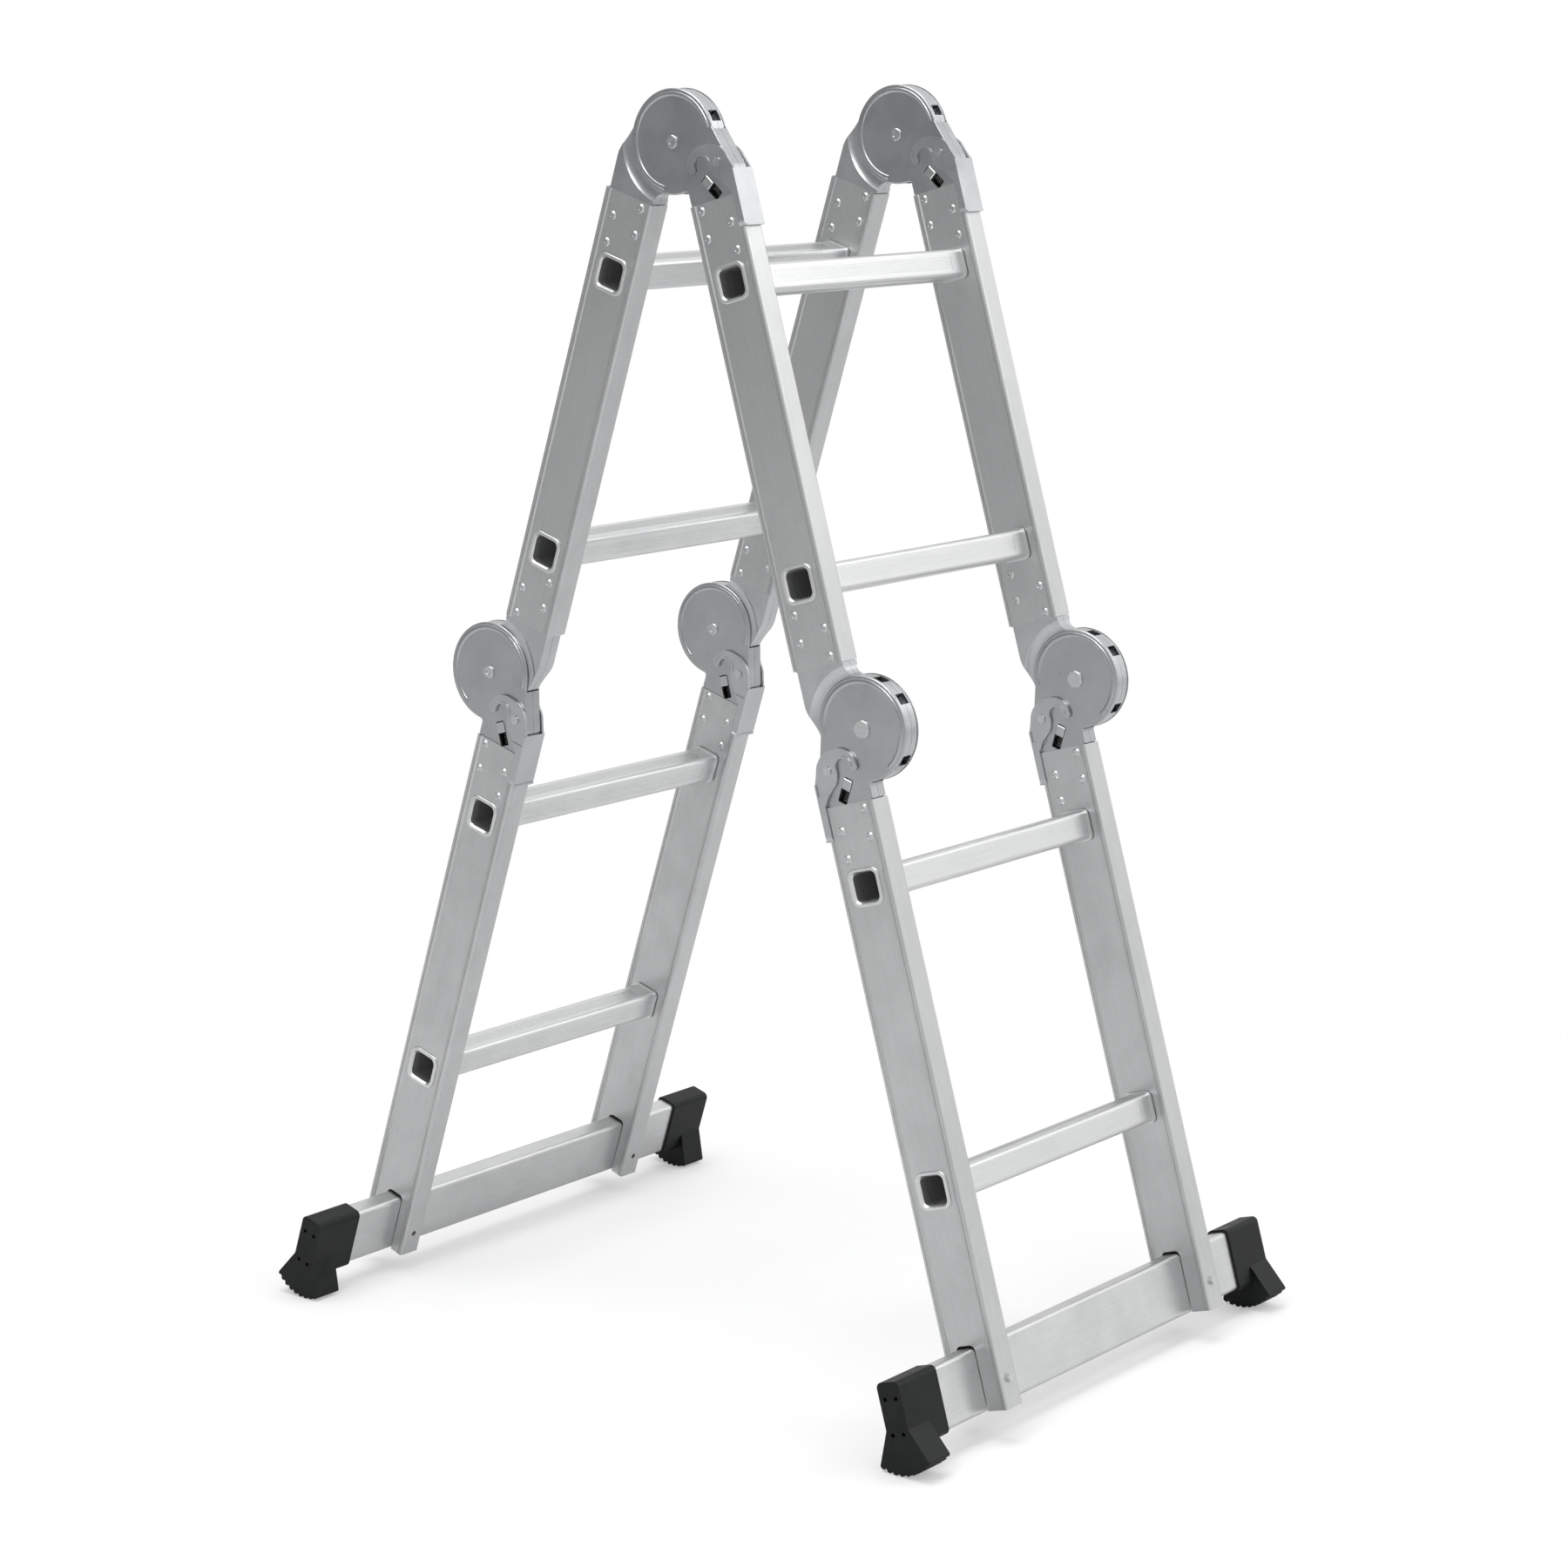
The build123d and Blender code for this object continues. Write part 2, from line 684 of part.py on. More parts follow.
# --------------------------------------------------------------------------------- fasteners
def make_hinge_pins(name, half, flat_heads):
    """Axle rivets through the drums and pins through the levers, for the left and right hinge."""
    with BuildPart() as pins:
        for sign in side_signs.values():
            middle = half.middle(sign * stile_x)
            with BuildSketch(middle):
                Circle(axle_radius)
            extrude(amount=cover_outer, both=True)
            with BuildSketch(middle):
                with Locations((lever_pin_w, lever_pin_p)):
                    Circle(lever_pin_radius)
            extrude(amount=ear_outer + pin_end_play, both=True)
            for end in (-1, 1):
                faces_left = end * middle.z_dir.X < 0
                head_radius = axle_flat_head_radius if flat_heads and faces_left else axle_head_radius
                with BuildSketch(middle.offset(end * cover_outer)):
                    Circle(head_radius)
                extrude(amount=end * axle_head_height)
                with BuildSketch(middle.offset(end * (ear_outer + pin_end_play))):
                    with Locations((lever_pin_w, lever_pin_p)):
                        Circle(lever_pin_head_radius)
                extrude(amount=end * lever_pin_head_height)
                heads = pins.faces().filter_by(GeomType.PLANE)
                outside = heads.sort_by_distance(middle.offset(end * axle_reach).origin)[0]
                chamfer(outside.edges(), length=head_chamfer)
                if not (flat_heads and faces_left):
                    with BuildSketch(middle.offset(end * (cover_outer + axle_head_height))):
                        Circle(axle_dimple_radius)
                    extrude(amount=-end * dimple_depth, mode=Mode.SUBTRACT)
    save(pins, name)


def make_rivets(name, halves):
    """Rivets with dished heads that hold the hinge plates in the ends of the stiles."""
    inner_end = drum_face - drum_wall
    head_base = panel_face + seat_contact
    with BuildPart() as rivets:
        for half in halves:
            for sign in side_signs.values():
                middle = half.middle(sign * stile_x)
                for end in (-1, 1):
                    with BuildSketch(middle.offset(end * inner_end)):
                        with Locations(*rivet_places):
                            Circle(rivet_radius)
                    extrude(amount=end * (head_base - inner_end))
                    outward = middle if end > 0 else Plane(middle.origin, middle.x_dir, middle.z_dir * -1)
                    places = [(w, end * p) for w, p in rivet_places]
                    with BuildSketch(outward.offset(head_base)):
                        with Locations(*places):
                            Circle(rivet_head_radius)
                    extrude(amount=rivet_head_height, taper=rivet_head_taper)
                    with BuildSketch(outward.offset(head_base + rivet_head_height)):
                        with Locations(*places):
                            Circle(rivet_dimple_radius)
                    extrude(amount=-dimple_depth, mode=Mode.SUBTRACT)
    save(rivets, name)


make_hinge_pins("apex_hinge_pins", apex_halves["front"], flat_heads=False)
for leg_name, leg in legs.items():
    is_front = leg_name == "front"
    make_hinge_pins(f"{leg_name}_middle_hinge_pins", lower_halves[leg_name], flat_heads=is_front)
    make_rivets(f"{leg_name}_upper_rivets", (apex_halves[leg_name], upper_halves[leg_name]))
    make_rivets(f"{leg_name}_lower_rivets", (lower_halves[leg_name],))


# ------------------------------------------------------------------- stabiliser bars and boots
def make_bar(name, leg):
    """Long flat tube in the slots at the bottom of both stiles."""
    middle = leg.side()
    centre = (bar_centre_v, bar_centre_u)
    with BuildPart() as bar:
        with BuildSketch(middle):
            with Locations(centre):
                RectangleRounded(bar_thickness, bar_height, bar_corner)
                RectangleRounded(
                    bar_thickness - 2 * bar_wall,
                    bar_height - 2 * bar_wall,
                    bar_corner - bar_wall,
                    mode=Mode.SUBTRACT,
                )
        extrude(amount=bar_length / 2, both=True)
        for sign in side_signs.values():
            with BuildSketch(leg.facing_out(screw_u, bar_centre_v, sign * stile_x)):
                Circle(screw_hole_radius)
            extrude(amount=bar_thickness, mode=Mode.SUBTRACT)
    save(bar, name)


def make_screws(name, leg):
    """Hexagon-headed screws that hold the bar in both stiles from the outer narrow face."""
    outer_face = pivot_offset + stile_depth / 2
    inner_end = bar_centre_v + bar_thickness / 2 - screw_tip_depth
    with BuildPart() as screws:
        for sign in side_signs.values():
            with BuildSketch(leg.facing_out(screw_u, inner_end, sign * stile_x)):
                Circle(screw_radius)
            extrude(amount=outer_face + seat_contact - inner_end)
            with BuildSketch(leg.facing_out(screw_u, outer_face + seat_contact, sign * stile_x)):
                RegularPolygon(screw_head_radius, 6)
            extrude(amount=screw_head_height)
    save(screws, name)


def make_boot(name, leg, side_sign):
    """Rubber boot: a closed sleeve over the bar end and a flared foot with a ribbed round sole."""
    middle = leg.side()
    toward = side_sign * (1 if middle.z_dir.X > 0 else -1)
    end_x = bar_length / 2 + boot_end_wall + boot_clearance
    outer_height = bar_height + 2 * (boot_wall + boot_clearance)
    outer_thickness = bar_thickness + 2 * (boot_wall + boot_clearance)
    with BuildPart() as boot:
        with BuildSketch(middle.offset(toward * end_x)):
            with Locations((bar_centre_v, bar_centre_u)):
                RectangleRounded(outer_thickness, outer_height, boot_sleeve_corner)
        extrude(amount=-toward * boot_sleeve_length)
        with BuildSketch(middle.offset(toward * end_x)) as foot:
            tip_angle = degrees(asin(foot_half_width / foot_radius))
            tip_u = foot_centre_u + foot_radius * cos(radians(tip_angle))
            left_tip = (bar_centre_v - foot_half_width, tip_u)
            right_tip = (bar_centre_v + foot_half_width, tip_u)
            with BuildLine():
                ThreePointArc(left_tip, (bar_centre_v, foot_centre_u + foot_radius), right_tip)
                Polyline(
                    right_tip,
                    (bar_centre_v + outer_thickness / 2, foot_shoulder_u),
                    (bar_centre_v - outer_thickness / 2, foot_shoulder_u),
                    left_tip,
                )
            make_face()
            fillet(foot.vertices().sort_by_distance(left_tip)[0], radius=foot_tip_radius)
            fillet(foot.vertices().sort_by_distance(right_tip)[0], radius=foot_tip_radius)
            # One rib of the sole lies straight below the leg, so that the boot stands on it.
            for step in tread_steps:
                angle = stand_angle / 2 + tread_pitch * (step + 0.5)
                if abs(angle) < tip_angle - foot_tip_radius:
                    tread = (
                        bar_centre_v - foot_radius * sin(radians(angle)),
                        foot_centre_u + foot_radius * cos(radians(angle)),
                    )
                    with Locations(tread):
                        Circle(tread_radius, mode=Mode.SUBTRACT)
        extrude(amount=-toward * foot_length)
        with BuildSketch(middle.offset(toward * (end_x - boot_end_wall))):
            with Locations((bar_centre_v, bar_centre_u)):
                RectangleRounded(
                    bar_thickness + 2 * boot_clearance,
                    bar_height + 2 * boot_clearance,
                    bar_corner,
                )
        extrude(amount=-toward * boot_sleeve_length, mode=Mode.SUBTRACT)
        with BuildSketch(middle.offset(toward * end_x)):
            with Locations((bar_centre_v, bar_centre_u)):
                with GridLocations(2 * boot_hole_offset_v, 2 * boot_hole_offset_u, 2, 2):
                    Circle(boot_hole_radius)
        extrude(amount=-toward * boot_end_wall, mode=Mode.SUBTRACT)
    save(boot, name)


for leg_name, leg in legs.items():
    make_bar(f"{leg_name}_stabiliser_bar", leg)
    make_screws(f"{leg_name}_bar_screws", leg)
    for side_name, sign in side_signs.items():
        make_boot(f"{leg_name}_{side_name}_boot", leg, sign)
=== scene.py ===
import json
from math import cos, radians, sin

import bpy
from mathutils import Matrix, Vector

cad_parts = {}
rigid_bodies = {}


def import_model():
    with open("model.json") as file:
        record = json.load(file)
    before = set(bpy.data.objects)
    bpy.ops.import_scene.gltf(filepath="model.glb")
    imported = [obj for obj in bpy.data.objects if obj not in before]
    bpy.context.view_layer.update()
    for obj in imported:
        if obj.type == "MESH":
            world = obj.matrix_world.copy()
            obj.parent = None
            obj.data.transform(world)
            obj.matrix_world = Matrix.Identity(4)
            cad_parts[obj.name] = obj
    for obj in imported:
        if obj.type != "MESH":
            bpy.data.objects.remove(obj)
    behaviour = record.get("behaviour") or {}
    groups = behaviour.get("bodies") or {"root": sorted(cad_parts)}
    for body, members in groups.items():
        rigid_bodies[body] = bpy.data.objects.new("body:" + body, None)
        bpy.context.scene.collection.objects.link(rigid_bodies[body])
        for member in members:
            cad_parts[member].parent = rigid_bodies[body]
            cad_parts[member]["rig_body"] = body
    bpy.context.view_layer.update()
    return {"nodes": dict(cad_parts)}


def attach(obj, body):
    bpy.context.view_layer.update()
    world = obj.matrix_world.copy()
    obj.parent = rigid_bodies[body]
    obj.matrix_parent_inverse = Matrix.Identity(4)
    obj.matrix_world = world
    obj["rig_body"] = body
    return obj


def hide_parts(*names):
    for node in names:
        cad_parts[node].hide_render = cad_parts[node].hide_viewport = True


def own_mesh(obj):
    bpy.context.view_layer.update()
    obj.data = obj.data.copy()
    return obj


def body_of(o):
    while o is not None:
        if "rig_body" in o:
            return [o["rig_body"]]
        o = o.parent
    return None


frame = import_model()
nodes = frame["nodes"]
scene = bpy.context.scene

# Each half of the ladder leans by this angle, so the grain of its stiles runs along it.
LEAN = radians(16.75)
APEX_HEIGHT = 1.14905

# The rungs: their distance from each other, and of their centre lines from the plane of the apex axis.
RUNG_PITCH = 0.280
RUNG_OFFSET = 0.0334

# The outline of a rung's open end is a square whose corners are rounded about these centres.
BORE_CORNER_CENTRE = 0.0095
BORE_CORNER_RADIUS = 0.0039

# Inside a rung's end, measured from the middle of the ladder: painted shade, full up to DARK_TO and none
# past DARK_GONE, and a painted glow that grows from FAINTEST_LIFT at LIT_FROM to its full strength at
# LIT_TO.
DARK_TO = 0.172
DARK_GONE = 0.181
LIT_FROM = 0.13
LIT_TO = 0.187
FAINTEST_LIFT = 0.15
BORE_GLOW = 0.04

# How much of a grey's tint goes into its blue.
BLUE_SHARE = 0.7

# Most of a noise lies between these values, so they are where its effect starts and ends.
NOISE_LOW = 0.3
NOISE_HIGH = 0.7

# A grain that is squeezed this much along a tube is drawn out into die lines.
DIE_LINE_SQUEEZE = 0.012

# Distances from the middle of the ladder between which the floor's glow grows to its full strength.
GLOW_FROM = 0.45
GLOW_FULL = 1.5
FAINTEST_GLOW = 0.35


# ------------------------------------------------------------------------------ node helpers
class Graph:
    """Short calls that add shader nodes to one material and join them up."""

    def __init__(self, name):
        self.material = bpy.data.materials.new(name)
        self.material.use_nodes = True
        self.tree = self.material.node_tree
        self.tree.nodes.clear()
        self.output = self.tree.nodes.new("ShaderNodeOutputMaterial")
        self.shader = self.tree.nodes.new("ShaderNodeBsdfPrincipled")
        self.join(self.shader.outputs["BSDF"], self.output.inputs["Surface"])

    def join(self, source, target):
        self.tree.links.new(source, target)

    def give(self, value, target):
        """Link a socket, or set a plain number or colour."""
        if isinstance(value, bpy.types.NodeSocket):
            self.join(value, target)
        else:
            target.default_value = value

    def place(self, lean=0.0, stretch=(1, 1, 1)):
        """Position in the ladder's frame, turned to the leg's lean and stretched."""
        where = self.tree.nodes.new("ShaderNodeTexCoord")
        turn = self.tree.nodes.new("ShaderNodeMapping")
        turn.vector_type = "POINT"
        turn.inputs["Rotation"].default_value = (lean, 0, 0)
        self.join(where.outputs["Object"], turn.inputs["Vector"])
        scale = self.tree.nodes.new("ShaderNodeMapping")
        scale.inputs["Scale"].default_value = stretch
        self.join(turn.outputs["Vector"], scale.inputs["Vector"])
        return scale.outputs["Vector"]

    def noise(self, vector, scale, detail=3.0, roughness=0.55, distortion=0.0):
        node = self.tree.nodes.new("ShaderNodeTexNoise")
        node.inputs["Scale"].default_value = scale
        node.inputs["Detail"].default_value = detail
        node.inputs["Roughness"].default_value = roughness
        node.inputs["Distortion"].default_value = distortion
        self.join(vector, node.inputs["Vector"])
        return node.outputs["Fac"]

    def cells(self, vector, scale):
        node = self.tree.nodes.new("ShaderNodeTexVoronoi")
        node.inputs["Scale"].default_value = scale
        self.join(vector, node.inputs["Vector"])
        return node.outputs["Distance"]

    def spread(self, value, low, high, to_low=0.0, to_high=1.0):
        node = self.tree.nodes.new("ShaderNodeMapRange")
        node.clamp = True
        node.inputs["From Min"].default_value = low
        node.inputs["From Max"].default_value = high
        node.inputs["To Min"].default_value = to_low
        node.inputs["To Max"].default_value = to_high
        self.join(value, node.inputs["Value"])
        return node.outputs["Result"]

    def math(self, first, second, operation="ADD"):
        node = self.tree.nodes.new("ShaderNodeMath")
        node.operation = operation
        self.give(first, node.inputs[0])
        self.give(second, node.inputs[1])
        return node.outputs["Value"]

    def swing(self, value, amount, low=NOISE_LOW, high=NOISE_HIGH):
        """A change of up to amount either way, as value goes from low to high."""
        return self.spread(value, low, high, -amount, amount)

    def tone(self, *changes):
        """Factor for a blend: half way, plus every change."""
        total = changes[0]
        for change in changes[1:]:
            total = self.math(total, change)
        return self.math(total, 0.5)

    def dot(self, vector, direction):
        node = self.tree.nodes.new("ShaderNodeVectorMath")
        node.operation = "DOT_PRODUCT"
        node.inputs[1].default_value = direction
        self.join(vector, node.inputs[0])
        return node.outputs["Value"]

    def blend(self, factor, dark, light):
        node = self.tree.nodes.new("ShaderNodeMix")
        node.data_type = "RGBA"
        self.give(factor, node.inputs[0])
        self.give(dark, node.inputs[6])
        self.give(light, node.inputs[7])
        return node.outputs[2]

    def bump(self, height, strength, distance, normal=None):
        node = self.tree.nodes.new("ShaderNodeBump")
        node.inputs["Strength"].default_value = strength
        node.inputs["Distance"].default_value = distance
        self.join(height, node.inputs["Height"])
        if normal is not None:
            self.join(normal, node.inputs["Normal"])
        return node.outputs["Normal"]

    def finish(self, colour, roughness, metallic, normal):
        self.give(colour, self.shader.inputs["Base Color"])
        self.give(roughness, self.shader.inputs["Roughness"])
        self.shader.inputs["Metallic"].default_value = metallic
        self.join(normal, self.shader.inputs["Normal"])
        return self.material


def grey(value, tint=0.0):
    """Neutral colour that tint pushes a little towards blue."""
    return (value * (1 - tint), value, value * (1 + tint * BLUE_SHARE), 1.0)


# --------------------------------------------------------------------------------- materials
def extruded_aluminium(name, lean, dark, light, base_roughness, stain):
    """Mill-finish extrusion: die lines along the tube, a fine matt grain and faint stains."""
    g = Graph(name)
    plain = g.place(lean)
    along = g.place(lean, (1.0, 1.0, DIE_LINE_SQUEEZE))
    die_lines = g.noise(along, scale=1500.0, detail=2.0, roughness=0.6)
    grain = g.noise(plain, scale=1700.0, detail=2.0, roughness=0.7)
    stains = g.noise(plain, scale=22.0, detail=6.0, roughness=0.62, distortion=0.6)
    clouds = g.noise(plain, scale=5.0, detail=3.0, roughness=0.5)
    tone = g.tone(
        g.swing(die_lines, 0.14),
        g.swing(grain, 0.18),
        g.swing(stains, -stain, low=0.35),
        g.swing(clouds, 0.12),
    )
    colour = g.blend(tone, grey(dark, 0.012), grey(light, 0.006))
    rough = g.math(
        g.spread(stains, 0.3, 0.75, base_roughness - 0.04, base_roughness + 0.09),
        g.swing(grain, 0.04),
    )
    normal = g.bump(die_lines, strength=0.22, distance=0.00006)
    normal = g.bump(grain, strength=0.30, distance=0.00005, normal=normal)
    return g.finish(colour, rough, metallic=1.0, normal=normal)


def inside_bores(g, facing):
    """Two masks for the open ends of a leg's rungs: where a painted glow stands in for light that reaches
    in, and where painted shade darkens them.
    """
    where = g.place()
    along_leg = g.dot(where, (0, facing * sin(LEAN), -cos(LEAN)))
    out_of_leg = g.dot(where, (0, facing * cos(LEAN), sin(LEAN)))
    step = g.math(g.math(along_leg, APEX_HEIGHT * cos(LEAN)), RUNG_PITCH, "MODULO")
    from_rung = g.math(g.math(step, RUNG_PITCH / 2, "SUBTRACT"), 0.0, "ABSOLUTE")
    rung_line = APEX_HEIGHT * sin(LEAN) + RUNG_OFFSET
    from_middle = g.math(g.math(out_of_leg, rung_line, "SUBTRACT"), 0.0, "ABSOLUTE")
    corner_squares = []
    for offset in (from_rung, from_middle):
        beyond = g.math(g.math(offset, BORE_CORNER_CENTRE, "SUBTRACT"), 0.0, "MAXIMUM")
        corner_squares.append(g.math(beyond, beyond, "MULTIPLY"))
    inside = g.math(g.math(*corner_squares), BORE_CORNER_RADIUS ** 2, "LESS_THAN")
    distance = g.math(g.dot(where, (1, 0, 0)), 0.0, "ABSOLUTE")
    painted_glow = g.math(inside, g.spread(distance, LIT_FROM, LIT_TO, FAINTEST_LIFT, 1.0), "MULTIPLY")
    painted_shade = g.math(inside, g.spread(distance, DARK_TO, DARK_GONE, 1.0, 0.0), "MULTIPLY")
    return painted_glow, painted_shade


def cross_aluminium(name, dark, light, base_roughness, stain, facing=0):
    """Extrusion that runs along X: a bar, or with facing the open-ended rungs of one leg."""
    g = Graph(name)
    plain = g.place()
    along = g.place(0.0, (DIE_LINE_SQUEEZE, 1.0, 1.0))
    die_lines = g.noise(along, scale=1500.0, detail=2.0, roughness=0.6)
    grain = g.noise(plain, scale=1700.0, detail=2.0, roughness=0.7)
    stains = g.noise(plain, scale=18.0, detail=6.0, roughness=0.6, distortion=0.3)
    tone = g.tone(
        g.swing(die_lines, 0.16),
        g.swing(grain, 0.12),
        g.swing(stains, -stain, low=0.36, high=0.66),
    )
    colour = g.blend(tone, grey(dark, 0.010), grey(light, 0.004))
    rough = g.spread(stains, 0.3, 0.75, base_roughness - 0.05, base_roughness + 0.10)
    normal = g.bump(die_lines, strength=0.25, distance=0.00006)
    normal = g.bump(grain, strength=0.20, distance=0.00004, normal=normal)
    if facing:
        # The glow stands in for light that reaches the inner walls after many reflections.
        painted_glow, painted_shade = inside_bores(g, facing)
        # Painted shade: the inner walls deep in the rung ends are darkened in their colour.
        colour = g.blend(painted_shade, colour, grey(0.10, 0.02))
        g.shader.inputs["Emission Color"].default_value = grey(0.9, 0.02)
        g.join(g.math(painted_glow, BORE_GLOW, "MULTIPLY"), g.shader.inputs["Emission Strength"])
    return g.finish(colour, rough, metallic=1.0, normal=normal)


def zinc_plate(name, dark, light, base_roughness):
    """Zinc-plated pressed steel: a fine crystalline grain with rubbed patches."""
    g = Graph(name)
    plain = g.place()
    crystals = g.cells(plain, scale=1300.0)
    grain = g.noise(plain, scale=1900.0, detail=2.0, roughness=0.7)
    patches = g.noise(plain, scale=28.0, detail=5.0, roughness=0.55, distortion=0.2)
    tone = g.tone(
        g.swing(crystals, 0.10, low=0.0, high=0.9),
        g.swing(grain, 0.14),
        g.swing(patches, 0.22),
    )
    colour = g.blend(tone, grey(dark, 0.035), grey(light, 0.02))
    rough = g.spread(patches, NOISE_LOW, NOISE_HIGH, base_roughness - 0.03, base_roughness + 0.05)
    normal = g.bump(grain, strength=0.16, distance=0.00004)
    normal = g.bump(crystals, strength=0.05, distance=0.00004, normal=normal)
    return g.finish(colour, rough, metallic=1.0, normal=normal)


def bright_metal(name, level, base_roughness):
    """Turned or headed steel with fine tool marks."""
    g = Graph(name)
    plain = g.place()
    marks = g.noise(g.place(0.0, (0.3, 1.0, 1.0)), scale=2200.0, detail=2.0, roughness=0.6)
    smears = g.noise(plain, scale=260.0, detail=4.0, roughness=0.6)
    tone = g.tone(g.swing(marks, 0.2), g.swing(smears, 0.25))
    colour = g.blend(tone, grey(level * 0.82, 0.02), grey(level, 0.01))
    rough = g.spread(smears, NOISE_LOW, NOISE_HIGH, base_roughness - 0.05, base_roughness + 0.1)
    return g.finish(colour, rough, metallic=1.0, normal=g.bump(marks, strength=0.2, distance=0.00004))


def dark_steel(name, level, base_roughness):
    """Oiled steel inside the locks."""
    g = Graph(name)
    plain = g.place()
    film = g.noise(plain, scale=300.0, detail=5.0, roughness=0.6)
    grit = g.noise(plain, scale=2500.0, detail=2.0, roughness=0.6)
    colour = g.blend(g.spread(film, NOISE_LOW, NOISE_HIGH), grey(level * 0.6, 0.02), grey(level * 1.4, 0.01))
    rough = g.spread(film, NOISE_LOW, NOISE_HIGH, base_roughness - 0.08, base_roughness + 0.12)
    return g.finish(colour, rough, metallic=1.0, normal=g.bump(grit, strength=0.3, distance=0.00004))


def moulded_rubber(name):
    """Black rubber with a fine moulded texture, dusty where it is rubbed."""
    g = Graph(name)
    plain = g.place()
    skin = g.noise(plain, scale=2600.0, detail=3.0, roughness=0.65)
    pebbles = g.cells(plain, scale=1100.0)
    dust = g.noise(plain, scale=55.0, detail=6.0, roughness=0.65, distortion=0.5)
    tone = g.math(g.spread(dust, 0.4, 0.75), g.spread(skin, 0.35, 0.7, -0.2, 0.25))
    colour = g.blend(tone, (0.004, 0.0048, 0.005, 1), (0.013, 0.0145, 0.015, 1))
    rough = g.spread(dust, NOISE_LOW, NOISE_HIGH, 0.38, 0.54)
    normal = g.bump(pebbles, strength=0.25, distance=0.00012)
    normal = g.bump(skin, strength=0.35, distance=0.00008, normal=normal)
    g.shader.inputs["Specular IOR Level"].default_value = 0.24
    return g.finish(colour, rough, metallic=0.0, normal=normal)


def painted_floor(name):
    """Pale studio floor with a glow, for the camera alone, that grows into the bright background."""
    g = Graph(name)
    plain = g.place()
    mottle = g.noise(plain, scale=1.4, detail=4.0, roughness=0.5)
    speck = g.noise(plain, scale=90.0, detail=3.0, roughness=0.5)
    path = g.tree.nodes.new("ShaderNodeLightPath")
    patches = g.spread(mottle, NOISE_LOW, NOISE_HIGH)
    pale = g.blend(patches, (0.80, 0.802, 0.804, 1), (0.84, 0.842, 0.843, 1))
    # The camera sees a paler floor than reflections do.
    colour = g.blend(path.outputs["Is Camera Ray"], (0.62, 0.622, 0.625, 1), pale)
    rough = g.spread(speck, NOISE_LOW, NOISE_HIGH, 0.70, 0.80)
    g.finish(colour, rough, metallic=0.0, normal=g.bump(speck, strength=0.05, distance=0.0004))
    g.shader.inputs["Specular IOR Level"].default_value = 0.2
    distance = g.tree.nodes.new("ShaderNodeVectorMath")
    distance.operation = "LENGTH"
    g.join(plain, distance.inputs[0])
    glow = g.tree.nodes.new("ShaderNodeEmission")
    glow.inputs["Strength"].default_value = 1.0
    g.join(g.blend(patches, (1.0, 1.0, 1.0, 1), (1.02, 1.02, 1.02, 1)), glow.inputs["Color"])
    fade = g.spread(distance.outputs["Value"], GLOW_FROM, GLOW_FULL, FAINTEST_GLOW, 1.0)
    mix = g.tree.nodes.new("ShaderNodeMixShader")
    g.join(g.math(fade, path.outputs["Is Camera Ray"], "MULTIPLY"), mix.inputs["Fac"])
    g.join(g.shader.outputs["BSDF"], mix.inputs[1])
    g.join(glow.outputs["Emission"], mix.inputs[2])
    g.join(mix.outputs["Shader"], g.output.inputs["Surface"])
    return g.material


stile_finish = {"dark": 0.50, "light": 0.70, "base_roughness": 0.36, "stain": 0.10}
rung_finish = {"dark": 0.64, "light": 0.84, "base_roughness": 0.33, "stain": 0.06}
stile_looks = {
    "front": extruded_aluminium("aluminium_front", LEAN, **stile_finish),
    "back": extruded_aluminium("aluminium_back", -LEAN, **stile_finish),
}
rung_looks = {
    "front": cross_aluminium("aluminium_front_rung", facing=-1, **rung_finish),
    "back": cross_aluminium("aluminium_back_rung", facing=1, **rung_finish),
}
bar_look = cross_aluminium("aluminium_bar", dark=0.56, light=0.78, base_roughness=0.34, stain=0.16)
cover_look = zinc_plate("zinc_cover", dark=0.40, light=0.56, base_roughness=0.30)
drum_look = zinc_plate("zinc_drum", dark=0.46, light=0.66, base_roughness=0.27)
lever_look = zinc_plate("zinc_lever", dark=0.46, light=0.64, base_roughness=0.30)
rivet_look = bright_metal("rivet_steel", level=0.70, base_roughness=0.26)
tongue_look = bright_metal("tongue_steel", level=0.62, base_roughness=0.32)
spring_look = dark_steel("spring_steel", level=0.12, base_roughness=0.35)
rubber_look = moulded_rubber("black_rubber")
floor_look = painted_floor("pale_floor")


def look_for(name):
    """Material for a CAD node, from what the node is."""
    leg = "front" if name.startswith("front") else "back"
    endings = {
        "stile": stile_looks[leg],
        "covers": cover_look,
        "drum": drum_look,
        "lever": lever_look,
        "tongue": tongue_look,
        "springs": spring_look,
        "boot": rubber_look,
        "screws": rivet_look,
        "rivets": rivet_look,
        "pins": rivet_look,
    }
    if "_rung_" in name:
        return rung_looks[leg]
    if name.endswith("stabiliser_bar"):
        return bar_look
    return endings[name.rsplit("_", 1)[1]]


for name, node in nodes.items():
    node.data.materials.clear()
    node.data.materials.append(look_for(name))

# --------------------------------------------------------------------------------- lock springs
# These coils replace the CAD ones; a real lock spring shortens as its tongue is drawn back.
LOCK_ANGLE = radians(33.0)
# A section's length from hinge to hinge, and the middle of a stile's width, left or right.
SECTION = 0.560
STILE_MIDDLE = 0.1725

# Along a lock's line, measured from its hinge's axis.
COIL_START = 0.0615

COIL_LENGTH = 0.0110
COIL_RADIUS = 0.0065
COIL_TURNS = 5
WIRE_RADIUS = 0.0008
STEPS_PER_TURN = 24
WIRE_SIDES = 8


